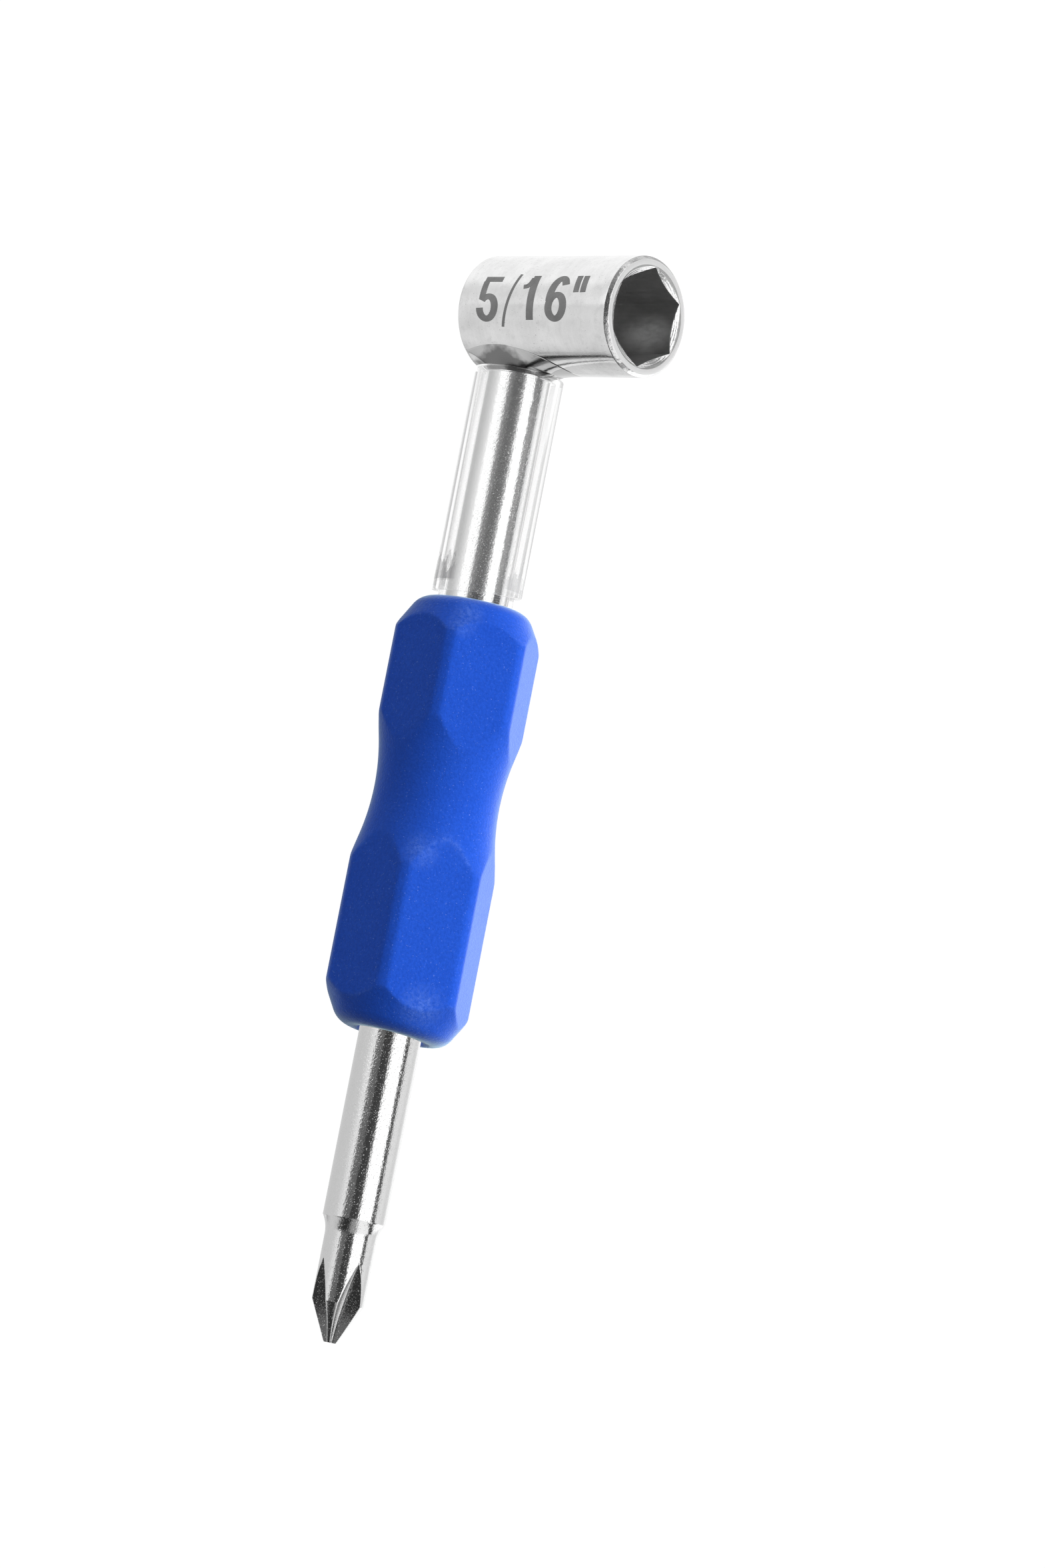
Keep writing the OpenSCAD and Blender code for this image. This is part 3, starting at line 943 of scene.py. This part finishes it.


# The studio's walls, as grey levels by the turn round the shank from the camera, in degrees: white
# panels and the dark gaps between them. From the camera, the shank mirrors the first one
# at its tip and the second at the sleeves, and the barrel mirrors the third below and the fourth above.
TIP_WALL = (
    (-180, 0.72), (-160, 0.8), (-150, 0.8), (-77, 0.84), (-65, 0.95), (-54, 1.12), (-47, 1.05),
    (-43, 0.2), (-24, 0.17), (-20, 0.16), (-19, 0.3), (-17, 0.06), (0, 0.07), (9, 0.09), (13, 0.3),
    (15, 0.8), (18, 1.8), (62, 1.8), (67, 0.15), (79, 0.12), (84, 1.12), (105, 1.08), (122, 0.92),
    (135, 1.0), (150, 1.4), (180, 0.85),
)
SLEEVE_WALL = (
    (-180, 1.0), (-174, 1.08), (-166, 1.1), (-152, 1.06), (-144, 0.6), (-115, 0.64), (-101, 0.77),
    (-92, 0.86), (-84, 1.0), (-76, 1.15), (-71, 1.7), (-38, 1.7), (-31, 0.32), (-20, 0.18),
    (-8, 0.06), (10, 0.06), (22, 0.17), (27, 0.4), (30, 1.8), (62, 1.8), (67, 0.04), (97, 0.03),
    (101, 0.8), (109, 1.2), (127, 1.5), (132, 1.15), (138, 0.7), (160, 0.5), (166, 0.7),
    (173, 0.95), (180, 0.95),
)
UNDER_WALL = (
    (-180, 0.8), (-170, 0.75), (-163, 0.68), (-159, 0.6), (-156, 1.05), (-150, 1.1), (-141, 1.05),
    (-138, 0.46), (-133, 0.46), (-130, 0.7), (-122, 0.76), (-110, 0.84), (-97, 0.84), (-88, 0.8),
    (-72, 0.7), (-60, 0.12), (-42, 0.04), (-20, 0.04), (-4, 0.4), (16, 0.45), (28, 1.3), (74, 1.3),
    (80, 0.06), (95, 0.06), (105, 1.5), (150, 1.6), (165, 0.6), (180, 0.8),
)
TOP_WALL = (
    (-180, 1.1), (-100, 1.1), (-86, 0.8), (-76, 0.9), (-71, 1.3), (-38, 1.3), (-31, 0.45),
    (-20, 0.3), (20, 0.3), (27, 0.5), (31, 1.3), (62, 1.3), (67, 0.25), (95, 0.25), (101, 0.9),
    (127, 1.1), (138, 0.6), (160, 0.55), (180, 1.1),
)
# Each wall that takes over from the first one, and the rise towards the socket over which it does
TAKE_OVER = ((SLEEVE_WALL, 0.06, 0.12), (UNDER_WALL, -0.25, -0.35), (TOP_WALL, 0.35, 0.6))
# Far below, everything gives way to a dark floor: the rises over which it does, and its share of light
DARK_FROM = -0.85
DARK_TO = -0.93
DARK_SHARE = 0.12
PALE_SKY = 1.0
# Lamps that light matt surfaces: turn from the camera, rise towards the socket, strength and breadth
LAMPS = (
    ("key_lamp", 62, 12, 3.6, 60),
    ("fill_lamp", -50, 20, 1.04, 120),
    ("rim_lamp", 142, 8, 3.0, 50),
    ("back_lamp", 180, 10, 1.2, 150),
)


def wall_shade(tree, share, wall):
    """A wall's grey by its share of the whole turn."""
    ramp = add(tree, "ShaderNodeValToRGB", share)
    bands = ramp.color_ramp.elements
    bands.remove(bands[-1])
    for number, (degrees, level) in enumerate(wall):
        place = (degrees + 180) / 360
        band = bands.new(place) if number else bands[0]
        band.position = place
        band.color = (level, level, level, 1)
    return ramp


def make_studio():
    """World light for what shines, in bands along the shank, and lamps for what is matt."""
    world = bpy.data.worlds.new("studio")
    bpy.context.scene.world = world
    world.use_nodes = True
    world.cycles_visibility.diffuse = False
    tree = world.node_tree
    view = add(tree, "ShaderNodeTexCoord").outputs["Generated"]
    rise = add(tree, "ShaderNodeSeparateXYZ", view).outputs["X"]
    beside, toward = (
        add(tree, VECTORS, view, round_shank(turn), operation="DOT_PRODUCT") for turn in (90, 0)
    )
    turn = add(tree, MATHS, beside, toward, operation="ARCTAN2")
    share = add(tree, RANGE, turn, -math.pi, math.pi)
    level = wall_shade(tree, share, TIP_WALL)
    for wall, start, end in TAKE_OVER:
        over = add(tree, RANGE, rise, start, end)
        level = add(tree, MIX, over, level, wall_shade(tree, share, wall), data_type="RGBA")
    dark = add(tree, RANGE, rise, DARK_FROM, DARK_TO, 1.0, DARK_SHARE)
    level = add(tree, MATHS, level, dark, operation="MULTIPLY")
    seen = add(tree, "ShaderNodeLightPath").outputs["Is Camera Ray"]
    sky = (PALE_SKY, PALE_SKY, PALE_SKY, 1)
    level = add(tree, MIX, seen, level, sky, data_type="RGBA")
    feed(tree, tree.nodes["Background"], Color=level, Strength=1.0)
    for name, turn, up, strength, breadth in LAMPS:
        lamp = bpy.data.objects.new(name, bpy.data.lights.new(name, "SUN"))
        lamp.data.energy = strength
        lamp.data.angle = math.radians(breadth)
        lamp.matrix_world = round_shank(turn, up).to_track_quat("Z", "Y").to_matrix().to_4x4()
        lamp.visible_glossy = False
        lamp.visible_transmission = False
        bpy.context.scene.collection.objects.link(lamp)


def make_camera():
    """The photograph's viewpoint, aimed and rolled as the camera was."""
    east = VIEW_DISTANCE * math.cos(VIEW_AZIMUTH)
    south = VIEW_DISTANCE * math.sin(VIEW_AZIMUTH)
    eye = Vector((east, -south, VIEW_HEIGHT))
    heading = math.pi - VIEW_AZIMUTH - VIEW_AIM
    look = Vector((math.cos(VIEW_PITCH) * math.cos(heading), math.cos(VIEW_PITCH) * math.sin(heading),
                   math.sin(VIEW_PITCH)))
    level_right = look.cross(Vector((0, 0, 1))).normalized()
    level_up = level_right.cross(look)
    right = level_right * math.cos(VIEW_ROLL) + level_up * math.sin(VIEW_ROLL)
    up = right.cross(look)
    pose = Matrix((right, up, -look)).transposed().to_4x4()
    pose.translation = eye
    camera = bpy.data.objects.new("camera", bpy.data.cameras.new("camera"))
    camera.data.lens = VIEW_LENS
    camera.data.sensor_width = SENSOR_WIDTH
    camera.data.clip_start = CLIP_NEAR
    camera.matrix_world = LAY @ pose
    bpy.context.scene.collection.objects.link(camera)
    bpy.context.scene.camera = camera


bpy.context.scene.view_settings.view_transform = "Standard"
make_floor()
make_studio()
make_camera()
